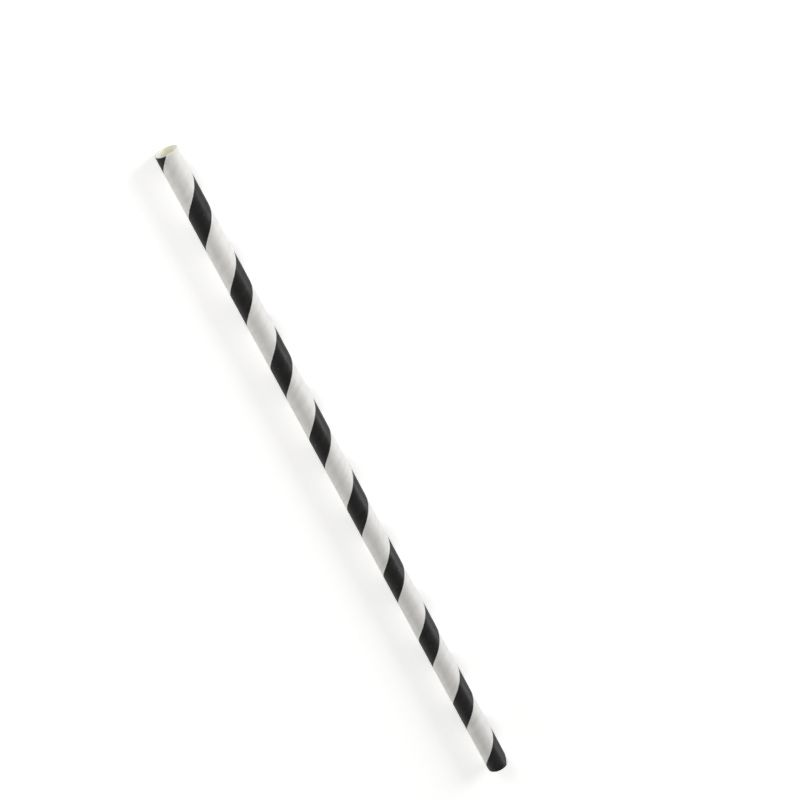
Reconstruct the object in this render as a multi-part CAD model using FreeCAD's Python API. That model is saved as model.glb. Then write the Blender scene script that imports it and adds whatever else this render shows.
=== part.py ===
"""Striped paper drinking straw.

A straight tube of white paper, with one black printed stripe that winds round it from end to end.
The straw lies along X as it would rest on a table: its lowest line is at Z = 0 and the middle of its
length is over the origin. The end that shows its round opening is at +X. All sizes are in millimetres.
"""
import FreeCAD
import Part
import math
import os

os.makedirs("parts", exist_ok=True)

# Sizes of the tube
OUTER_DIAMETER = 6.0
WALL_THICKNESS = 0.45
STRAW_LENGTH = 197.0

# Sizes of the printed stripe
# One turn of the stripe climbs by the pitch. The black takes a share of each turn, the rest is white paper.
STRIPE_PITCH = 22.2
BLACK_SHARE = 0.4118
# The paper strip on the outside of the wall carries the print, so the black band is as deep as that strip.
PRINTED_PLY = 0.15
# The angle at which the lower edge of the band leaves the open end, from +Y towards +Z.
BAND_ANGLE_AT_OPEN_END = 83.5

# How far a tool solid reaches past the faces that it trims
TRIM_ALLOWANCE = 0.1

# Sizes that follow
OUTER_RADIUS = OUTER_DIAMETER / 2
INNER_RADIUS = OUTER_RADIUS - WALL_THICKNESS
FULL_TURN = 360.0
BAND_RISE = STRIPE_PITCH * BLACK_SHARE
TURNS_ALONG_STRAW = math.ceil(STRAW_LENGTH / STRIPE_PITCH)

UP = FreeCAD.Vector(0, 0, 1)
DIAGONAL = FreeCAD.Vector(1, 1, 1)
ORIGIN = FreeCAD.Vector(0, 0, 0)
THIRD_OF_A_TURN = FULL_TURN / 3


def ring(inner_radius, outer_radius, height):
    """An upright ring wall that stands on the XY plane."""
    outer = Part.makeCylinder(outer_radius, height)
    inner = Part.makeCylinder(inner_radius, height)
    return outer.cut(inner)


def one_turn_of_band(inner_radius, outer_radius):
    """One turn of a band that winds right-handed about Z and starts on the XY plane.

    A rectangle that stands on X is carried along a helix. Its height is what the band covers along the straw,
    so every cut across the straw shows the same share of black.
    """
    helix = Part.makeHelix(STRIPE_PITCH, STRIPE_PITCH, OUTER_RADIUS)
    corners = [
        FreeCAD.Vector(inner_radius, 0, 0),
        FreeCAD.Vector(outer_radius, 0, 0),
        FreeCAD.Vector(outer_radius, 0, BAND_RISE),
        FreeCAD.Vector(inner_radius, 0, BAND_RISE),
        FreeCAD.Vector(inner_radius, 0, 0),
    ]
    sweep = Part.BRepOffsetAPI.MakePipeShell(Part.Wire(helix.Edges))
    sweep.setFrenetMode(True)
    sweep.add(Part.makePolygon(corners))
    sweep.build()
    sweep.makeSolid()
    return sweep.shape()


def winding_band(inner_radius, outer_radius):
    """A band of many turns, longer than the straw at both ends.

    The turns are alike and join end to end. The lower edge of the last full turn meets the open end of the
    straw at the named angle.
    """
    turn = one_turn_of_band(inner_radius, outer_radius)
    turns = []
    for count in range(-1, TURNS_ALONG_STRAW + 2):
        piece = turn.copy()
        piece.translate(FreeCAD.Vector(0, 0, STRAW_LENGTH - count * STRIPE_PITCH))
        turns.append(piece)
    band = turns[0].multiFuse(turns[1:])
    band.rotate(ORIGIN, UP, BAND_ANGLE_AT_OPEN_END)
    return band


def lay_down(shape):
    """Turns the upright straw to lie along X and sets it on the table, with its middle over the origin."""
    laid = shape.copy()
    # This turn takes X to Y, Y to Z and Z to X.
    laid.rotate(ORIGIN, DIAGONAL, THIRD_OF_A_TURN)
    laid.translate(FreeCAD.Vector(-STRAW_LENGTH / 2, 0, OUTER_RADIUS))
    return laid


# The black band is the part of the outer paper strip that the winding band covers.
printed_ring = ring(OUTER_RADIUS - PRINTED_PLY, OUTER_RADIUS, STRAW_LENGTH)
tool_band = winding_band(
    OUTER_RADIUS - PRINTED_PLY - TRIM_ALLOWANCE,
    OUTER_RADIUS + TRIM_ALLOWANCE,
)
black_band = printed_ring.common(tool_band)

# The white paper is the whole wall less the band, so the two fit flush and without a gap.
whole_wall = ring(INNER_RADIUS, OUTER_RADIUS, STRAW_LENGTH)
white_wall = whole_wall.cut(black_band)

lay_down(white_wall.Solids[0]).exportStep("parts/paper_tube.step")
lay_down(black_band.Solids[0]).exportStep("parts/black_stripe.step")
print("white paper:", len(white_wall.Solids), "solid,", round(white_wall.Volume, 2), "cubic millimetres")
print("black band:", len(black_band.Solids), "solid,", round(black_band.Volume, 2), "cubic millimetres")
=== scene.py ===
# %% [markdown]
# # A striped paper drinking straw
# A paper straw is wound from narrow strips of paper. The strips run round a rod at a slant, one
# layer over the other, and glue holds them. The strip on the outside is printed before it is wound,
# so a straight printed line becomes a stripe that climbs round the tube.
#
# This lesson winds the tube as a whole. A straight tube is cut into lengthwise columns, the tube is
# twisted until the columns climb as the stripe does, and then the white and the black columns are
# given their thickness.

# %% Load the solid model and measure it
import math

import bmesh
import bpy
from mathutils import Matrix, Vector


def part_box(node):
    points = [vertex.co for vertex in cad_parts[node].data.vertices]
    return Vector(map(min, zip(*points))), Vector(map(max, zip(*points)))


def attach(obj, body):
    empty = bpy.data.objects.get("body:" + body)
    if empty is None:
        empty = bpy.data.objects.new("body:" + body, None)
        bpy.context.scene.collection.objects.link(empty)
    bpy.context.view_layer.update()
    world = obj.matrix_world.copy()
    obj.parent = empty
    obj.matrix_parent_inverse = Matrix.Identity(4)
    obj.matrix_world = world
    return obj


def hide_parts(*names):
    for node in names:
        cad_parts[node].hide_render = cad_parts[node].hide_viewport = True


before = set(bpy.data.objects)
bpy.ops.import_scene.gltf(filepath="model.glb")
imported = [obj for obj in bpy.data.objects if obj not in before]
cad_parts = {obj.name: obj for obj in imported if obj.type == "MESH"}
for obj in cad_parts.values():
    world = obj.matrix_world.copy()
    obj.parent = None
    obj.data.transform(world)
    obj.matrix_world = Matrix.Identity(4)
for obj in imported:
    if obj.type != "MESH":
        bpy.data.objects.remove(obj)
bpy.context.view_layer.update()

MM = 0.001
low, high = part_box("paper_tube")
LENGTH = high.x - low.x
RADIUS = (high.z - low.z) / 2
HALF = LENGTH / 2
AXIS_HEIGHT = (high.z + low.z) / 2
print("straw length and width in mm:", round(LENGTH / MM, 2), round(2 * RADIUS / MM, 2))

# %% [markdown]
# ## The sizes of the winding
# One turn of the stripe climbs 22.2 mm, and the black takes 21 of 51 columns, which is 0.412 of a
# turn. So many columns keep the tube round, and both edges of the stripe fall exactly between two
# of them.
#
# The wall is 0.45 mm thick and is wound from three strips, so the outermost strip is a third of
# that.

# %% Sizes of the winding
COLUMNS = 51
BLACK_COLUMNS = 21
PITCH = 22.2 * MM
WALL = 0.45 * MM
STRIP_THICKNESS = WALL / 3
STRIPE_ANGLE_AT_MOUTH = math.radians(83.5)

UNDER_RADIUS = RADIUS - STRIP_THICKNESS
BORE_RADIUS = RADIUS - WALL
COLUMN_TURN = 2 * math.pi / COLUMNS
BLACK_SHARE = BLACK_COLUMNS / COLUMNS
WINDING_SLANT = math.atan2(2 * math.pi * RADIUS, PITCH)
print("the stripe leans", round(math.degrees(WINDING_SLANT), 1), "degrees from the straw's axis")


# %% [markdown]
# ## Selecting by place
# By hand, a maker clicks the faces or edges to work on. Here a short test on each one's place does
# the clicking. Everything is deselected first, so an operator acts only on what the test picks.

# %% Helpers that select
def take(piece):
    """Makes one object the only selected one."""
    bpy.ops.object.select_all(action="DESELECT")
    piece.select_set(True)
    bpy.context.view_layer.objects.active = piece


def pick(piece, kind, test):
    """In edit mode, selects the verts, edges or faces that pass a test, and nothing else."""
    bpy.ops.mesh.select_all(action="DESELECT")
    modes = {"verts": "VERT", "edges": "EDGE", "faces": "FACE"}
    bpy.ops.mesh.select_mode(type=modes[kind])
    mesh = bmesh.from_edit_mesh(piece.data)
    count = 0
    for part in getattr(mesh, kind):
        if test(part):
            part.select_set(True)
            count += 1
    bmesh.update_edit_mesh(piece.data)
    return count


def from_axis(point, height=0.0):
    """The distance of a point from the straw's axis."""
    return math.hypot(point.y, point.z - height)


def angle_of(point):
    """The angle of a point about the X axis, from +Y towards +Z."""
    return math.atan2(point.z, point.y)


def stripe_place(point):
    """Where a point lies between one stripe's first edge, 0, and the next one's, 1."""
    climb = (point.x - HALF) / PITCH
    turn = (angle_of(point) - STRIPE_ANGLE_AT_MOUTH) / (2 * math.pi)
    return (climb - turn) % 1.0


# %% [markdown]
# ## The tube before it is wound
# A cylinder without ends is the start. Its long edges are cut into short lengths, because a twist
# can only bend an edge where there is a point to turn. Two rounds of cuts are used: one operator
# call stops at a hundred cuts.

# %% A straight tube of columns
ROUNDS_OF_CUTS = (20, 21)
SHORTEST_LONG_EDGE = 0.01 * MM

bpy.ops.object.select_all(action="DESELECT")
bpy.ops.mesh.primitive_cylinder_add(
    vertices=COLUMNS,
    radius=UNDER_RADIUS,
    depth=LENGTH,
    end_fill_type="NOTHING",
    rotation=(0, math.pi / 2, 0),
)
wall = bpy.context.object
wall.name = "straw_paper_wall"
bpy.ops.object.transform_apply(location=False, rotation=True, scale=False)

take(wall)
bpy.ops.object.mode_set(mode="EDIT")
for cuts in ROUNDS_OF_CUTS:
    pick(wall, "edges", lambda e: abs(e.verts[0].co.x - e.verts[1].co.x) > SHORTEST_LONG_EDGE)
    bpy.ops.mesh.subdivide(number_cuts=cuts)
bpy.ops.object.mode_set(mode="OBJECT")
print("faces before winding:", len(wall.data.polygons))

# %% [markdown]
# ## Winding it
# A Simple Deform modifier twists the tube about its length by as many turns as the stripe makes.
# Its edges then run along the stripe, so the print can have a clean edge that is real geometry and
# not a picture.

# %% Twist the tube
twist = wall.modifiers.new("winding", "SIMPLE_DEFORM")
twist.deform_method = "TWIST"
twist.deform_axis = "X"
twist.angle = 2 * math.pi * LENGTH / PITCH
take(wall)
bpy.ops.object.modifier_apply(modifier=twist.name)


def column_offset():
    """How far, in columns, the nearest column edge lies from the stripe's first edge."""
    places = [stripe_place(v.co) * COLUMNS for v in wall.data.vertices]
    offsets = [p - round(p) for p in places]
    return sum(offsets) / len(offsets), max(offsets) - min(offsets)


offset, spread = column_offset()
print("columns are off the stripe by", round(offset, 4), "and spread over", round(spread, 4))

# %% [markdown]
# ## Turning it to the photographed place
# The wound tube is turned about its axis until a column's edge lies on the stripe's first edge at
# the mouth. The amount was measured in the cell above, so a change of length or of pitch still ends
# in the right place.

# %% Turn the tube
take(wall)
bpy.ops.object.mode_set(mode="EDIT")
bpy.ops.mesh.select_all(action="SELECT")
bpy.ops.transform.rotate(value=-offset * COLUMN_TURN, orient_axis="X", center_override=(0, 0, 0))
bpy.ops.object.mode_set(mode="OBJECT")
offset, spread = column_offset()
print("columns are off the stripe by", round(offset, 4), "and spread over", round(spread, 4))


# %% [markdown]
# ## The printed band
# The black columns are copied into a piece of their own. It is drawn outward from the axis by the
# thickness of the outer strip, which makes a closed band that winds round the straw. A scale about
# the axis is used rather than a push along the normals, so that the band's sides are radial and
# meet the white strip exactly.

# %% Separate the black columns and thicken them
def draw_out():
    """Extrudes the selected faces and scales them out to the outside of the straw."""
    grow = RADIUS / UNDER_RADIUS
    bpy.ops.mesh.extrude_region_move()
    bpy.ops.transform.resize(value=(1, grow, grow), center_override=(0, 0, 0))


def is_black(face):
    return stripe_place(face.calc_center_median()) < BLACK_SHARE


take(wall)
bpy.ops.object.mode_set(mode="EDIT")
black_faces = pick(wall, "faces", is_black)
bpy.ops.mesh.duplicate()
bpy.ops.mesh.separate(type="SELECTED")
bpy.ops.object.mode_set(mode="OBJECT")
band = next(o for o in bpy.context.selected_objects if o != wall)
band.name = "straw_black_stripe"

take(band)
bpy.ops.object.mode_set(mode="EDIT")
bpy.ops.mesh.select_all(action="SELECT")
draw_out()
bpy.ops.mesh.select_all(action="SELECT")
bpy.ops.mesh.normals_make_consistent(inside=False)
bpy.ops.object.mode_set(mode="OBJECT")
print("black columns make", black_faces, "faces; the band has", len(band.data.polygons))

# %% [markdown]
# ## The white paper of the outer strip
# On the wall itself the white columns are drawn out by the same amount. What stays behind is a
# shallow channel that the black band fills, flush with the paper on both sides.

# %% Raise the white columns
take(wall)
bpy.ops.object.mode_set(mode="EDIT")
white_faces = pick(wall, "faces", lambda f: not is_black(f))
draw_out()
bpy.ops.object.mode_set(mode="OBJECT")
print("white columns make", white_faces, "faces")

# %% [markdown]
# ## The cut end
# Where the straw is cut, the paper strips show on edge as thin rings, with a fine glue line between
# them. The open edge of the wall is extruded inward in small steps: across a strip, down into a
# glue line and up again. The last loops at both ends are bridged, which makes the inner wall.

# %% Close the wall at the cut ends
GLUE_LINE = 0.016 * MM
GLUE_DEPTH = 0.03 * MM
middle_joint = (UNDER_RADIUS + BORE_RADIUS) / 2
cut_steps = [
    (UNDER_RADIUS - GLUE_LINE / 2, GLUE_DEPTH),
    (UNDER_RADIUS - GLUE_LINE, 0.0),
    (middle_joint + GLUE_LINE / 2, 0.0),
    (middle_joint, GLUE_DEPTH),
    (middle_joint - GLUE_LINE / 2, 0.0),
    (BORE_RADIUS, 0.0),
]

take(wall)
bpy.ops.object.mode_set(mode="EDIT")
for end in (1, -1):
    count = pick(wall, "edges", lambda e: e.is_boundary and e.verts[0].co.x * end > 0)
    radius, depth = UNDER_RADIUS, 0.0
    for next_radius, next_depth in cut_steps:
        shrink = next_radius / radius
        bpy.ops.mesh.extrude_edges_move()
        bpy.ops.transform.resize(value=(1, shrink, shrink), center_override=(0, 0, 0))
        bpy.ops.transform.translate(value=(end * (depth - next_depth), 0, 0))
        radius, depth = next_radius, next_depth
    print("edges round the end:", count)

pick(wall, "edges", lambda e: e.is_boundary)
bpy.ops.mesh.bridge_edge_loops()
bpy.ops.mesh.select_all(action="SELECT")
bpy.ops.mesh.normals_make_consistent(inside=False)
bpy.ops.object.mode_set(mode="OBJECT")

# %% [markdown]
# ## Softened edges
# A knife presses the paper as it cuts, so the rim isn't a sharp corner. A bevel of a few hundredths
# of a millimetre rounds it, and catches the light as a fine pale line round the mouth.
#
# Up to here both pieces were modelled about the X axis, which keeps the sums simple. Now they are
# raised to where the straw lies, and each surface is tested for gaps.

# %% Bevel the rims and raise the straw
RIM_SOFTNESS = 0.04 * MM
NEAR_END = 0.001 * MM
NEAR_RADIUS = 0.002 * MM
SMOOTH_BELOW = math.radians(35)


def on_rim(edge, radius):
    return all(
        abs(abs(v.co.x) - HALF) < NEAR_END and abs(from_axis(v.co) - radius) < NEAR_RADIUS
        for v in edge.verts
    )


for piece, radii in ((wall, (RADIUS, BORE_RADIUS)), (band, (RADIUS,))):
    take(piece)
    bpy.ops.object.mode_set(mode="EDIT")
    count = pick(piece, "edges", lambda e: any(on_rim(e, r) for r in radii))
    bpy.ops.mesh.bevel(offset=RIM_SOFTNESS, segments=2, affect="EDGES")
    bpy.ops.mesh.select_all(action="SELECT")
    bpy.ops.transform.translate(value=(0, 0, AXIS_HEIGHT))
    bpy.ops.object.mode_set(mode="OBJECT")
    bpy.ops.object.shade_smooth_by_angle(angle=SMOOTH_BELOW)
    check = bmesh.new()
    check.from_mesh(piece.data)
    loose = sum(1 for e in check.edges if not e.is_manifold)
    volume = check.calc_volume(signed=True) / MM ** 3
    print(piece.name, "rim edges:", count, "edges that aren't closed:", loose)
    print("volume in cubic mm:", round(volume, 2))
    check.free()


# %% [markdown]
# ## Building a finish from nodes
# A finish is a small network: something that says where a point lies, patterns that vary over the
# place, and the shader at the end. Four short helpers keep the cells readable. One adds a node and
# plugs values or other nodes' outputs into its sockets, one does the same for a step of arithmetic,
# one mixes two colours, and one starts a group.

# %% Helpers that wire nodes
def add(tree, kind, inputs=None, **settings):
    """Adds a node, sets its options, and fills its inputs with values or with other sockets."""
    node = tree.nodes.new(kind)
    for name, value in settings.items():
        setattr(node, name, value)
    for name, value in (inputs or {}).items():
        if isinstance(value, bpy.types.NodeSocket):
            tree.links.new(value, node.inputs[name])
        else:
            node.inputs[name].default_value = value
    return node


def calc(tree, operation, *values, clamp=False):
    """One step of arithmetic on numbers, whose result is given back as a socket."""
    inputs = dict(enumerate(values))
    node = add(tree, "ShaderNodeMath", inputs, operation=operation, use_clamp=clamp)
    return node.outputs[0]


def blend_colours(tree, factor, first, second):
    """Mixes two colours by a factor. Either colour may be a value or a socket."""
    mix = add(tree, "ShaderNodeMix", data_type="RGBA")
    places = (mix.inputs["Factor"], mix.inputs[6], mix.inputs[7])
    for socket, value in zip(places, (factor, first, second)):
        if isinstance(value, bpy.types.NodeSocket):
            tree.links.new(value, socket)
        else:
            socket.default_value = value
    return mix.outputs[2]


def new_group(name, inputs, outputs):
    """An empty shader node group with named inputs and outputs."""
    group = bpy.data.node_groups.new(name, "ShaderNodeTree")
    for side, sockets in (("INPUT", inputs), ("OUTPUT", outputs)):
        for socket_name, kind, value in sockets:
            socket = group.interface.new_socket(
                name=socket_name, in_out=side, socket_type="NodeSocket" + kind
            )
            if value is not None:
                socket.default_value = value
    return group, group.nodes.new("NodeGroupInput"), group.nodes.new("NodeGroupOutput")


# %% [markdown]
# ## Where a point lies on the wound strip
# Fibres, print and joints all follow the strip, and the strip follows the winding. This group turns
# a point of the object into a place on the strip: how far it is across, from 0 to 1, and the same
# place in millimetres across and along. The pattern breaks where one edge of the strip meets the
# other, as it does on real wound paper.

# %% A group that unwinds the straw
CIRCUMFERENCE = 2 * math.pi * RADIUS / MM
STRIP_WIDTH = CIRCUMFERENCE * math.cos(WINDING_SLANT)

unwind, start, end = new_group(
    "unwound place",
    [("Point", "Vector", None)],
    [("Across", "Float", None), ("Place", "Vector", None), ("From Axis", "Float", None)],
)
split = add(unwind, "ShaderNodeSeparateXYZ", {"Vector": start.outputs["Point"]})
rise = calc(unwind, "SUBTRACT", split.outputs["Z"], AXIS_HEIGHT)
angle = calc(unwind, "ARCTAN2", rise, split.outputs["Y"])
turn = calc(unwind, "DIVIDE", calc(unwind, "SUBTRACT", angle, STRIPE_ANGLE_AT_MOUTH), 2 * math.pi)
climb = calc(unwind, "DIVIDE", calc(unwind, "SUBTRACT", split.outputs["X"], HALF), PITCH)
across = calc(unwind, "FRACT", calc(unwind, "SUBTRACT", climb, turn))
straight = calc(unwind, "DIVIDE", split.outputs["X"], MM * math.cos(WINDING_SLANT))
along = calc(unwind, "MULTIPLY_ADD", across, CIRCUMFERENCE * math.sin(WINDING_SLANT), straight)
across_mm = calc(unwind, "MULTIPLY", across, STRIP_WIDTH)
place = add(unwind, "ShaderNodeCombineXYZ", {"X": across_mm, "Y": along})
side_squared = calc(unwind, "POWER", split.outputs["Y"], 2.0)
squares = calc(unwind, "ADD", calc(unwind, "POWER", rise, 2.0), side_squared)
unwind.links.new(across, end.inputs["Across"])
unwind.links.new(place.outputs["Vector"], end.inputs["Place"])
unwind.links.new(calc(unwind, "DIVIDE", calc(unwind, "SQRT", squares), MM), end.inputs["From Axis"])
print("the strip is", round(STRIP_WIDTH, 1), "mm wide")

# %% [markdown]
# ## Paper fibres
# Paper is a felt of short fibres. Seen close it has fine threads that lie mostly along the strip,
# and seen from further off a faint cloudiness where they lie thicker. Two stretched noises make the
# threads, and a wide soft one makes the clouds. Damp glue also leaves the strip slightly wavy, so a
# last noise raises and lowers it over some millimetres. The group puts out a tone for colour and
# gloss, and a height for the bump.

# %% A group for paper grain
NOISE_ROUGHNESS = 0.6
CLOUD_CONTRAST = 1.8
CLOUD_OFFSET = -0.4
LONG_SHARE = 0.62
WAVE_HEIGHT = 12.0

grain, start, end = new_group(
    "paper grain",
    [("Place", "Vector", None), ("Threads", "Float", 1.0)],
    [("Tone", "Float", None), ("Height", "Float", None)],
)


def stretched_noise(tree, source, stretch, scale, detail):
    """Noise that is drawn out along one direction of the strip."""
    moved = add(tree, "ShaderNodeMapping", {"Vector": source, "Scale": stretch})
    noise = add(tree, "ShaderNodeTexNoise",
                {"Vector": moved.outputs["Vector"], "Scale": scale, "Detail": detail,
                 "Roughness": NOISE_ROUGHNESS})
    return noise.outputs["Fac"]


clouds = stretched_noise(grain, start.outputs["Place"], (1.0, 0.6, 1.0), 0.45, 2.0)
long_threads = stretched_noise(grain, start.outputs["Place"], (1.0, 0.16, 1.0), 6.5, 4.0)
cross_threads = stretched_noise(grain, start.outputs["Place"], (0.28, 1.0, 1.0), 5.0, 3.0)
crossing = calc(grain, "MULTIPLY", cross_threads, 1.0 - LONG_SHARE)
threads = calc(grain, "MULTIPLY_ADD", long_threads, LONG_SHARE, crossing)
fine = calc(grain, "MULTIPLY", calc(grain, "SUBTRACT", threads, 0.5), start.outputs["Threads"])
cloudy = calc(grain, "MULTIPLY_ADD", clouds, CLOUD_CONTRAST, CLOUD_OFFSET)
tone = calc(grain, "ADD", cloudy, fine, clamp=True)
waves = stretched_noise(grain, start.outputs["Place"], (1.0, 0.45, 1.0), 0.35, 1.0)
height = calc(grain, "MULTIPLY_ADD", calc(grain, "SUBTRACT", waves, 0.5), WAVE_HEIGHT, fine)
grain.links.new(tone, end.inputs["Tone"])
grain.links.new(height, end.inputs["Height"])


# %% [markdown]
# ## Ink and its edges
# Ink stops at the printed edge, but paper is uneven, so that edge is slightly ragged: a few threads
# stay white inside it and a few carry ink outside. From the place on the strip, this group gives
# two masks: one is 1 on ink, and the other is 1 on the fine joint between the strip's two edges.

# %% A group for the printed stripe
EDGE_SHARPNESS = 500.0
JOINT_WIDTH_MM = 0.05

ink, start, end = new_group(
    "printed stripe",
    [("Across", "Float", None), ("Place", "Vector", None), ("Raggedness", "Float", 0.03)],
    [("Ink", "Float", None), ("Joint", "Float", None)],
)
ragged = stretched_noise(ink, start.outputs["Place"], (1.0, 0.5, 1.0), 7.0, 3.0)
push = calc(ink, "MULTIPLY", calc(ink, "SUBTRACT", ragged, 0.5), start.outputs["Raggedness"])
middle = calc(ink, "SUBTRACT", start.outputs["Across"], BLACK_SHARE / 2)
wrapped = calc(ink, "WRAP", middle, 0.5, -0.5)
reach = calc(ink, "SUBTRACT", BLACK_SHARE / 2, calc(ink, "ABSOLUTE", wrapped))
edge = calc(ink, "ADD", reach, push)
sharp = calc(ink, "MULTIPLY_ADD", edge, EDGE_SHARPNESS, 0.5, clamp=True)
ink.links.new(sharp, end.inputs["Ink"])
other_way = calc(ink, "SUBTRACT", 1.0, start.outputs["Across"])
to_joint = calc(ink, "MINIMUM", start.outputs["Across"], other_way)
joint_steps = calc(ink, "MULTIPLY", to_joint, STRIP_WIDTH / JOINT_WIDTH_MM)
near_joint = calc(ink, "SUBTRACT", 1.0, joint_steps, clamp=True)
ink.links.new(near_joint, end.inputs["Joint"])


# %% [markdown]
# ## The four finishes
# The straw shows paper in four states: coated white paper and black ink outside, plain cream paper
# inside, and paper cut across its layers at the ends. All four start from the same place and grain,
# so they belong together.

# %% A start that all four finishes share
DARK_TONE = 0.2
PALE_TONE = 0.8


def paper_finish(name, threads):
    """A material with a shader, the unwound place and the grain, ready for its own colours."""
    material = bpy.data.materials.new(name)
    material.use_nodes = True
    tree = material.node_tree
    shader = tree.nodes["Principled BSDF"]
    point = add(tree, "ShaderNodeTexCoord")
    where = add(tree, "ShaderNodeGroup", node_tree=unwind)
    tree.links.new(point.outputs["Object"], where.inputs["Point"])
    felt = add(tree, "ShaderNodeGroup", node_tree=grain)
    tree.links.new(where.outputs["Place"], felt.inputs["Place"])
    felt.inputs["Threads"].default_value = threads
    return material, tree, shader, where, felt


def raise_surface(tree, shader, height, distance):
    """Turns a height into relief on the shader, with its depth in metres."""
    bump = add(tree, "ShaderNodeBump", {"Height": height, "Distance": distance, "Strength": 1.0})
    tree.links.new(bump.outputs["Normal"], shader.inputs["Normal"])


def gloss(tree, shader, tone, smooth, rough):
    """Lets the grain's tone vary the roughness between two values."""
    spread_out = add(tree, "ShaderNodeMapRange",
                     {"Value": tone, "From Min": DARK_TONE, "From Max": PALE_TONE,
                      "To Min": smooth, "To Max": rough})
    tree.links.new(spread_out.outputs["Result"], shader.inputs["Roughness"])


# %% [markdown]
# ### White coated paper
# The outer strip is white paper with a thin smooth coating, so it has a soft sheen. It is a little
# warm, and its tone drifts with the fibres. Along the black edge the two edges of the strip meet in
# a joint as fine as a hair.

# %% White paper outside
WHITE = (0.875, 0.87, 0.857, 1)
WHITE_SHADE = (0.745, 0.737, 0.72, 1)
INK = (0.0195, 0.019, 0.0193, 1)
JOINT_COLOUR = (0.35, 0.33, 0.3, 1)
JOINT_STRENGTH = 0.35
JOINT_DEPTH = 1.6
RAGGEDNESS = 0.012
OUTSIDE_RELIEF = 0.012 * MM


def printed_stripe(tree, where):
    """The stripe's group, placed in a material and fed with the place on the strip."""
    places = {name: where.outputs[name] for name in ("Across", "Place")}
    return add(tree, "ShaderNodeGroup", {**places, "Raggedness": RAGGEDNESS}, node_tree=ink)


white_paper, tree, shader, where, felt = paper_finish("white coated paper", 0.5)
stripe = printed_stripe(tree, where)
paper = blend_colours(tree, felt.outputs["Tone"], WHITE_SHADE, WHITE)
joint_mask = calc(tree, "MULTIPLY", stripe.outputs["Joint"], JOINT_STRENGTH)
jointed = blend_colours(tree, joint_mask, paper, JOINT_COLOUR)
inked = blend_colours(tree, stripe.outputs["Ink"], jointed, INK)
tree.links.new(inked, shader.inputs["Base Color"])
gloss(tree, shader, felt.outputs["Tone"], 0.40, 0.52)
shader.inputs["Specular IOR Level"].default_value = 0.1
groove = calc(tree, "MULTIPLY", stripe.outputs["Joint"], JOINT_DEPTH)
relief = calc(tree, "SUBTRACT", felt.outputs["Height"], groove)
raise_surface(tree, shader, relief, OUTSIDE_RELIEF)

# %% [markdown]
# ### Black ink
# The ink is thin, so the fibres still show in it as a change of gloss more than of colour. Here and
# there a raised fibre stayed bare, which leaves tiny pale specks. A Voronoi pattern scatters them,
# and the random colour that it gives each of its cells is used to keep only a few.

# %% Black ink outside
INK_WORN = (0.032, 0.031, 0.031, 1)
SPECKS_PER_MM = 1.3
SPECK_SIZE = 0.06
SPECKS_LEFT_OUT = 0.88

black_ink, tree, shader, where, felt = paper_finish("black ink on paper", 0.8)
stripe = printed_stripe(tree, where)
ink_tone = blend_colours(tree, felt.outputs["Tone"], INK, INK_WORN)
spots = add(tree, "ShaderNodeTexVoronoi",
            {"Vector": where.outputs["Place"], "Scale": SPECKS_PER_MM, "Randomness": 1.0})
small = calc(tree, "LESS_THAN", spots.outputs["Distance"], SPECK_SIZE)
chosen = add(tree, "ShaderNodeSeparateColor", {"Color": spots.outputs["Color"]})
kept = calc(tree, "GREATER_THAN", chosen.outputs["Red"], SPECKS_LEFT_OUT)
few = calc(tree, "MULTIPLY", small, kept)
bare = calc(tree, "MAXIMUM", few, calc(tree, "SUBTRACT", 1.0, stripe.outputs["Ink"]))
tree.links.new(blend_colours(tree, bare, ink_tone, WHITE_SHADE), shader.inputs["Base Color"])
gloss(tree, shader, felt.outputs["Tone"], 0.36, 0.48)
shader.inputs["Specular IOR Level"].default_value = 0.11
raise_surface(tree, shader, felt.outputs["Height"], OUTSIDE_RELIEF)

# %% [markdown]
# ### Cream paper inside
# The innermost strip is plain and uncoated, a little creamier than the outside. Along the bottom
# of the bore a broad soft streak of painted shade, a yellowish green, stands for the shade that
# falls there. The grain is coarser here and the paper hardly shines.

# %% Cream paper inside
CREAM = (0.915, 0.91, 0.89, 1)
CREAM_SHADE = (0.865, 0.857, 0.825, 1)
# Painted shade: a yellowish green for the shaded bottom of the bore, centred at this angle round
# the bore and fading out by this edge.
BORE_PAINTED_SHADE = (0.885, 0.882, 0.67, 1)
PAINTED_SHADE_ANGLE = math.radians(-95)
PAINTED_SHADE_EDGE = 0.55
INNER_JOINT_PLACE = 0.37
INNER_JOINT_DEPTH = 2.0
INSIDE_RELIEF = 0.02 * MM

cream_paper, tree, shader, where, felt = paper_finish("cream paper inside", 1.1)
cream_tone = blend_colours(tree, felt.outputs["Tone"], CREAM_SHADE, CREAM)
point = add(tree, "ShaderNodeTexCoord")
from_middle = add(tree, "ShaderNodeVectorMath",
                  {0: point.outputs["Object"], 1: (0, 0, AXIS_HEIGHT)},
                  operation="SUBTRACT")
towards = (0, math.cos(PAINTED_SHADE_ANGLE) / BORE_RADIUS, math.sin(PAINTED_SHADE_ANGLE) / BORE_RADIUS)
nearness = add(tree, "ShaderNodeVectorMath", {0: from_middle.outputs["Vector"], 1: towards},
               operation="DOT_PRODUCT")
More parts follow.
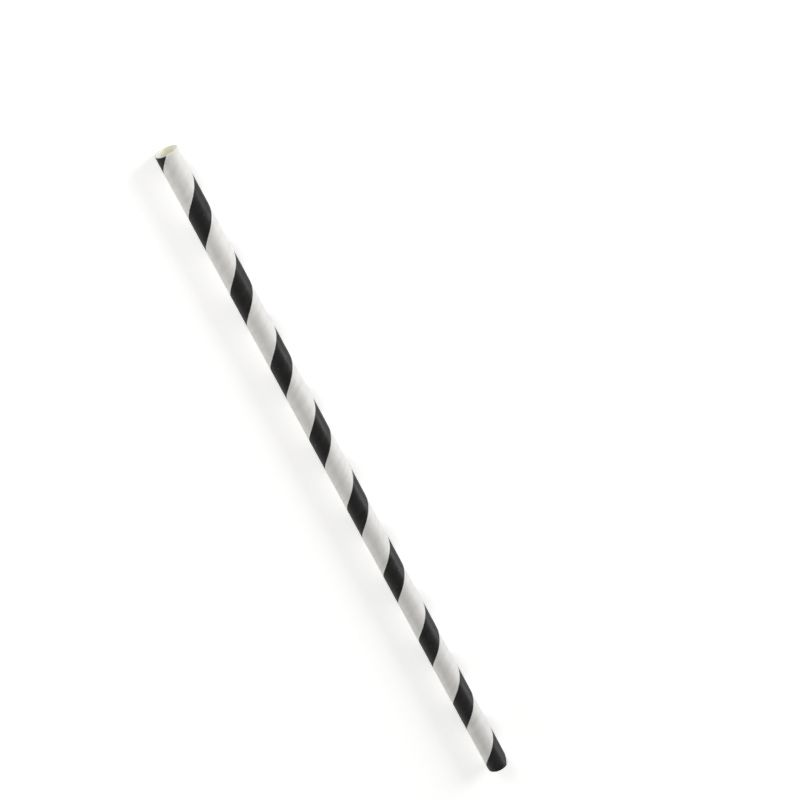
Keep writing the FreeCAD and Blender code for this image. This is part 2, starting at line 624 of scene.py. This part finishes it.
# Painted shade: the yellowish green fades in towards the bottom of the bore.
painted_shade = add(tree, "ShaderNodeMapRange",
             {"Value": nearness.outputs["Value"], "From Min": PAINTED_SHADE_EDGE, "From Max": 1.0},
             interpolation_type="SMOOTHSTEP")
cream_and_painted_shade = blend_colours(tree, painted_shade.outputs["Result"], cream_tone, BORE_PAINTED_SHADE)
tree.links.new(cream_and_painted_shade, shader.inputs["Base Color"])
shifted = calc(tree, "FRACT", calc(tree, "ADD", where.outputs["Across"], INNER_JOINT_PLACE))
inner_joint = add(tree, "ShaderNodeGroup",
                  {"Across": shifted, "Place": where.outputs["Place"]}, node_tree=ink)
gloss(tree, shader, felt.outputs["Tone"], 0.68, 0.82)
groove = calc(tree, "MULTIPLY", inner_joint.outputs["Joint"], INNER_JOINT_DEPTH)
relief = calc(tree, "SUBTRACT", felt.outputs["Height"], groove)
raise_surface(tree, shader, relief, INSIDE_RELIEF)

# %% [markdown]
# ### The cut edge
# Cut paper shows the ends of its fibres, so it is rough and matt. Rings of slightly different tone
# follow the distance from the axis, one for each strip, and darken at the glue lines between them.

# %% Paper on edge
EDGE_PALE = (0.93, 0.917, 0.88, 1)
EDGE_SHADE = (0.82, 0.80, 0.74, 1)
RING_CONTRAST = 0.18
EDGE_RELIEF = 0.03 * MM

cut_edge, tree, shader, where, felt = paper_finish("cut paper edge", 1.4)
rings = calc(tree, "MULTIPLY", where.outputs["From Axis"], 2 * math.pi * MM / STRIP_THICKNESS)
layers = calc(tree, "SINE", rings)
mix_by = calc(tree, "MULTIPLY_ADD", layers, RING_CONTRAST, felt.outputs["Tone"], clamp=True)
tree.links.new(blend_colours(tree, mix_by, EDGE_SHADE, EDGE_PALE), shader.inputs["Base Color"])
shader.inputs["Roughness"].default_value = 0.85
raise_surface(tree, shader, felt.outputs["Height"], EDGE_RELIEF)

# %% [markdown]
# ## Giving each face its finish
# A face that looks along the straw is a cut, a face near the axis is the inside, and the rest is
# the outside.

# %% Assign the finishes
LOOKS_ALONG = 0.4
BORE_SURELY_ENDS = BORE_RADIUS + 0.02 * MM


def dress(piece, outside):
    """Gives a piece its three finishes, and each face the one that belongs to its place."""
    piece.data.materials.clear()
    for material in (outside, cut_edge, cream_paper):
        piece.data.materials.append(material)
    counts = [0, 0, 0]
    for face in piece.data.polygons:
        if abs(face.normal.x) > LOOKS_ALONG:
            number = 1
        elif from_axis(face.center, AXIS_HEIGHT) < BORE_SURELY_ENDS:
            number = 2
        else:
            number = 0
        face.material_index = number
        counts[number] += 1
    print(piece.name, "faces outside, cut and inside:", counts)


dress(wall, white_paper)
dress(band, black_ink)

# %% [markdown]
# ## Standing in for the solid model
# Each piece takes the place of one solid and rides with it. The black band is its own piece so that
# someone who uses the straw can give it another colour.

# %% Tie the pieces to the solid model
for piece, node, slot in (
    (wall, "paper_tube", "white_paper"),
    (band, "black_stripe", "black_print"),
):
    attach(piece, "root")
    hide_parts(node)

# %% [markdown]
# ## The floor and the light
# The straw lies on a plain white floor. A strong light would burn the white paper out, so the lamps
# stay at a level where a colour renders as it is written. The floor alone is lifted to white for
# the camera and for reflections by a little glow, and the straw's soft shadow stays on it. Further
# off, where the lamps hardly reach, the glow is stronger.

# %% A white floor
FLOOR_SIZE = 6.0
FLOOR_COLOUR = (0.8, 0.8, 0.8, 1)
FLOOR_GLOW = 0.56
FAR_GLOW = 0.9
GLOW_RISES_FROM = 0.4
GLOW_RISES_TO = 1.6


def seen_or_mirrored(tree):
    """1 on rays from the camera, off a mirror or through glass, and 0 on those that light."""
    rays = add(tree, "ShaderNodeLightPath")
    mirrored = calc(tree, "MAXIMUM", rays.outputs["Is Glossy Ray"],
                    rays.outputs["Is Transmission Ray"])
    return calc(tree, "MAXIMUM", rays.outputs["Is Camera Ray"], mirrored)


bpy.ops.mesh.primitive_plane_add(size=FLOOR_SIZE, location=(0, 0, 0))
floor = bpy.context.object
floor.name = "floor"
floor_paint = bpy.data.materials.new("white floor")
floor_paint.use_nodes = True
tree = floor_paint.node_tree
matt = tree.nodes["Principled BSDF"]
matt.inputs["Base Color"].default_value = FLOOR_COLOUR
matt.inputs["Roughness"].default_value = 0.9
matt.inputs["Specular IOR Level"].default_value = 0.1
spot = add(tree, "ShaderNodeTexCoord")
away = add(tree, "ShaderNodeVectorMath", {0: spot.outputs["Object"]}, operation="LENGTH")
amount = add(tree, "ShaderNodeMapRange",
             {"Value": away.outputs["Value"],
              "From Min": GLOW_RISES_FROM, "From Max": GLOW_RISES_TO,
              "To Min": FLOOR_GLOW, "To Max": FAR_GLOW})
strength = calc(tree, "MULTIPLY", seen_or_mirrored(tree), amount.outputs["Result"])
glow = add(tree, "ShaderNodeEmission", {"Strength": strength})
both = tree.nodes.new("ShaderNodeAddShader")
tree.links.new(matt.outputs[0], both.inputs[0])
tree.links.new(glow.outputs[0], both.inputs[1])
tree.links.new(both.outputs[0], tree.nodes["Material Output"].inputs["Surface"])
floor.data.materials.append(floor_paint)

# %% [markdown]
# ### The room
# Around the straw the room is white, and overhead it is dim, as in a studio with a dark ceiling. A
# dark ceiling keeps the black ink black, because ink that faces up would otherwise mirror a white
# sky. The room looks white to the camera and in reflections, and throws a softer light on the
# straw.

# %% A white room with a dim ceiling
ROOM_LIGHT = 0.12
CEILING = 0.10
WALLS_END = 0.3
CEILING_STARTS = 0.6

room = bpy.data.worlds.new("white room")
bpy.context.scene.world = room
room.use_nodes = True
tree = room.node_tree
sky = tree.nodes["Background"]
looking = add(tree, "ShaderNodeTexCoord")
height = add(tree, "ShaderNodeSeparateXYZ", {"Vector": looking.outputs["Generated"]})
fall = add(tree, "ShaderNodeMapRange",
           {"Value": height.outputs["Z"], "From Min": WALLS_END, "From Max": CEILING_STARTS,
            "To Min": 1.0, "To Max": CEILING},
           interpolation_type="SMOOTHSTEP")
level = calc(tree, "MULTIPLY_ADD", seen_or_mirrored(tree), 1.0 - ROOM_LIGHT, ROOM_LIGHT)
sky.inputs["Color"].default_value = (1, 1, 1, 1)
tree.links.new(calc(tree, "MULTIPLY", level, fall.outputs["Result"]), sky.inputs["Strength"])

# %% [markdown]
# ### Soft lamps
# In the photograph the straw's right side is bright, the left side less so, and the darkest line
# runs a little left of the middle. A strong lamp low on the right and a weak one low on the left do
# that. The third lamp stands in front of the mouth, lights the cut rim and shines into the bore.
# The weakest one lights the far end.
#
# The photographed straw has a soft shine on one side alone, so none of these four is mirrored. A
# fifth lamp adds no light to the paper and shows only as that shine, from where the camera sees it
# mirrored in the right side.

# %% Soft lamps round the straw
NEUTRAL = (1.0, 1.0, 1.0)
WARM = (1.0, 0.985, 0.945)
LAMP_WIDTH = 0.5
LAMP_DISTANCE = 1.0


def soft_lamp(name, azimuth, elevation, power, colour):
    """A wide lamp that looks at the middle of the straw from a direction given in degrees."""
    a, e = math.radians(azimuth), math.radians(elevation)
    direction = Vector((math.cos(e) * math.cos(a), math.cos(e) * math.sin(a), math.sin(e)))
    light = bpy.data.lights.new(name, "AREA")
    light.shape = "SQUARE"
    light.size = LAMP_WIDTH
    light.energy = power
    light.color = colour
    lamp = bpy.data.objects.new(name, light)
    bpy.context.scene.collection.objects.link(lamp)
    lamp.location = direction * LAMP_DISTANCE + Vector((0, 0, AXIS_HEIGHT))
    lamp.rotation_euler = direction.to_track_quat("Z", "Y").to_euler()
    lamp.visible_glossy = False
    return lamp


soft_lamp("lamp_right", -75, 20, 8.3, NEUTRAL)
soft_lamp("lamp_left", 80, 10, 4.6, WARM)
soft_lamp("lamp_front", 10, 30, 4.5, WARM)
soft_lamp("lamp_back", 180, 20, 2.0, NEUTRAL)
shine = soft_lamp("lamp_shine", -117, 16, 7.0, NEUTRAL)
shine.visible_glossy = True
shine.visible_diffuse = False

# %% [markdown]
# ## The camera
# The camera was worked out from the photograph: it looks down on the open end from 63.9 degrees,
# and is rolled so that the straw runs from the upper left to the lower right. A long lens keeps the
# width nearly even.

# %% A camera at the photographed angle
CAMERA_PLACE = Vector((0.27948, -0.02185, 0.54729))
CAMERA_ELEVATION = math.radians(63.88)
CAMERA_ROLL = math.radians(152.56)
LENS = 108.9

back = Vector((math.cos(CAMERA_ELEVATION), 0, math.sin(CAMERA_ELEVATION)))
level_right = Vector((0, 1, 0))
level_up = back.cross(level_right)
right = level_right * math.cos(CAMERA_ROLL) + level_up * math.sin(CAMERA_ROLL)
up = back.cross(right)
camera = bpy.data.objects.new("camera", bpy.data.cameras.new("camera"))
bpy.context.scene.collection.objects.link(camera)
camera.data.lens = LENS
turned = Matrix((right, up, back)).transposed().to_4x4()
camera.matrix_world = Matrix.Translation(CAMERA_PLACE) @ turned
bpy.context.scene.camera = camera
bpy.context.scene.view_settings.view_transform = "Standard"
